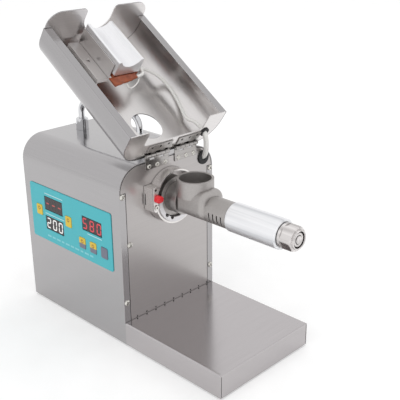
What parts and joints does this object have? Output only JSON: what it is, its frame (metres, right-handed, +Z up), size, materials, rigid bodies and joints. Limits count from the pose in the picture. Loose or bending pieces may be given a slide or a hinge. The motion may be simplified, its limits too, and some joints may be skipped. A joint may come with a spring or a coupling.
{
  "type": "screw oil press",
  "caption": "Benchtop screw oil press: sheet-metal cabinet with a folding heated cover, a cast press chamber with a feed cup, a slotted barrel and a control panel.",
  "frame": {"origin": "centre of the bounding box's bottom face, on the floor under the rubber feet", "axes": "+X forward along the press screw, +Z up, +Y to the side away from the control panel"},
  "size_m": [0.3865, 0.1515, 0.3827],
  "materials": {
    "stainless_sheet": "brushed stainless sheet",
    "chromed_steel": "bright chrome plating",
    "zinc_fasteners": "bright zinc plating",
    "cast_stainless": "blasted investment casting",
    "turned_aluminium": "turned and satin",
    "polished_steel": "ground and polished",
    "overlay_film": "printed polyester film",
    "display_filter": "dark smoked filter",
    "yellow_keys": "satin moulding",
    "grey_key": "satin moulding",
    "black_rubber": "matt",
    "black_plastic": "moulded",
    "red_plastic": "gloss moulding",
    "board_laminate": "solder mask",
    "heater_film": "amber film wrap",
    "lead_sleeve": "white braided sleeve",
    "gear_case": "as cast",
    "motor_paint": "black enamel"
  },
  "bodies": {
    "cabinet": {"cabinet_wrapper": "stainless_sheet", "front_plate": "stainless_sheet", "rear_plate": "stainless_sheet", "bottom_plate": "stainless_sheet", "base_tray": "stainless_sheet", "chamber_shroud": "stainless_sheet", "hinge_fixed_leaves": "stainless_sheet", "carry_handle": "chromed_steel", "handle_ferrules": "chromed_steel", "front_screws": "zinc_fasteners", "rear_screws": "zinc_fasteners", "hinge_screws": "zinc_fasteners", "hinge_pins": "zinc_fasteners", "handle_nuts": "zinc_fasteners", "lever_pivot_pin": "zinc_fasteners", "board_standoffs": "zinc_fasteners", "press_chamber": "cast_stainless", "press_barrel": "cast_stainless", "barrel_socket": "cast_stainless", "heat_sleeve": "turned_aluminium", "half_ring": "turned_aluminium", "end_nut": "polished_steel", "outlet_bush": "polished_steel", "shaft_bearing": "polished_steel", "control_overlay": "overlay_film", "upper_display": "display_filter", "lower_display": "display_filter", "speed_display": "display_filter", "rubber_feet": "black_rubber", "front_grommet": "black_rubber", "power_inlet": "black_plastic", "tact_switches": "black_plastic", "control_board": "board_laminate", "heater_lead": "lead_sleeve", "gear_housing": "gear_case", "motor": "motor_paint"},
    "cover": {"cover_shell": "stainless_sheet", "cover_near_plate": "stainless_sheet", "cover_far_plate": "stainless_sheet", "hinge_moving_leaves": "stainless_sheet", "cover_hinge_screws": "zinc_fasteners", "heater_saddle": "turned_aluminium", "heater_element": "heater_film", "heater_bracket": "stainless_sheet", "cover_grommet": "black_rubber", "cover_lead": "lead_sleeve"},
    "screw": {"press_screw": "polished_steel", "drive_shaft": "polished_steel"},
    "rotor": {"motor_shaft": "polished_steel", "motor_fan": "black_plastic"},
    "lever": {"lock_lever": "stainless_sheet", "lever_cap": "red_plastic"},
    "temperature_down": {"temperature_down_key": "yellow_keys"},
    "temperature_up": {"temperature_up_key": "yellow_keys"},
    "speed_down": {"speed_down_key": "yellow_keys"},
    "speed_up": {"speed_up_key": "yellow_keys"},
    "run": {"run_key": "grey_key"}
  },
  "joints": [
    {"name": "cover_hinge", "type": "hinge", "parent": "cabinet", "child": "cover", "pos_m": [0.0022, 0, 0.229], "axis": [0, -1, 0], "range_deg": [-145, 0], "deforming": ["heater_lead"]},
    {"name": "screw_spin", "type": "hinge", "parent": "cabinet", "child": "screw", "pos_m": [0, 0, 0.1756], "axis": [1, 0, 0], "continuous": true},
    {"name": "rotor_spin", "type": "hinge", "parent": "cabinet", "child": "rotor", "pos_m": [-0.15, 0, 0.1276], "axis": [1, 0, 0], "continuous": true},
    {"name": "lever_swing", "type": "hinge", "parent": "cabinet", "child": "lever", "pos_m": [0.0148, -0.0347, 0.1718], "axis": [1, 0, 0], "range_deg": [0, 30]},
    {"name": "temperature_down_press", "type": "slide", "parent": "cabinet", "child": "temperature_down", "axis": [0, 1, 0], "range_m": [0, 0.0005], "stiffness_N_per_m": 800},
    {"name": "temperature_up_press", "type": "slide", "parent": "cabinet", "child": "temperature_up", "axis": [0, 1, 0], "range_m": [0, 0.0005], "stiffness_N_per_m": 800},
    {"name": "speed_down_press", "type": "slide", "parent": "cabinet", "child": "speed_down", "axis": [0, 1, 0], "range_m": [0, 0.0005], "stiffness_N_per_m": 800},
    {"name": "speed_up_press", "type": "slide", "parent": "cabinet", "child": "speed_up", "axis": [0, 1, 0], "range_m": [0, 0.0005], "stiffness_N_per_m": 800},
    {"name": "run_press", "type": "slide", "parent": "cabinet", "child": "run", "axis": [0, 1, 0], "range_m": [0, 0.0005], "stiffness_N_per_m": 800}
  ],
  "couplings": [
    {"joint": "screw_spin", "follows": "rotor_spin", "ratio": 0.04}
  ]
}
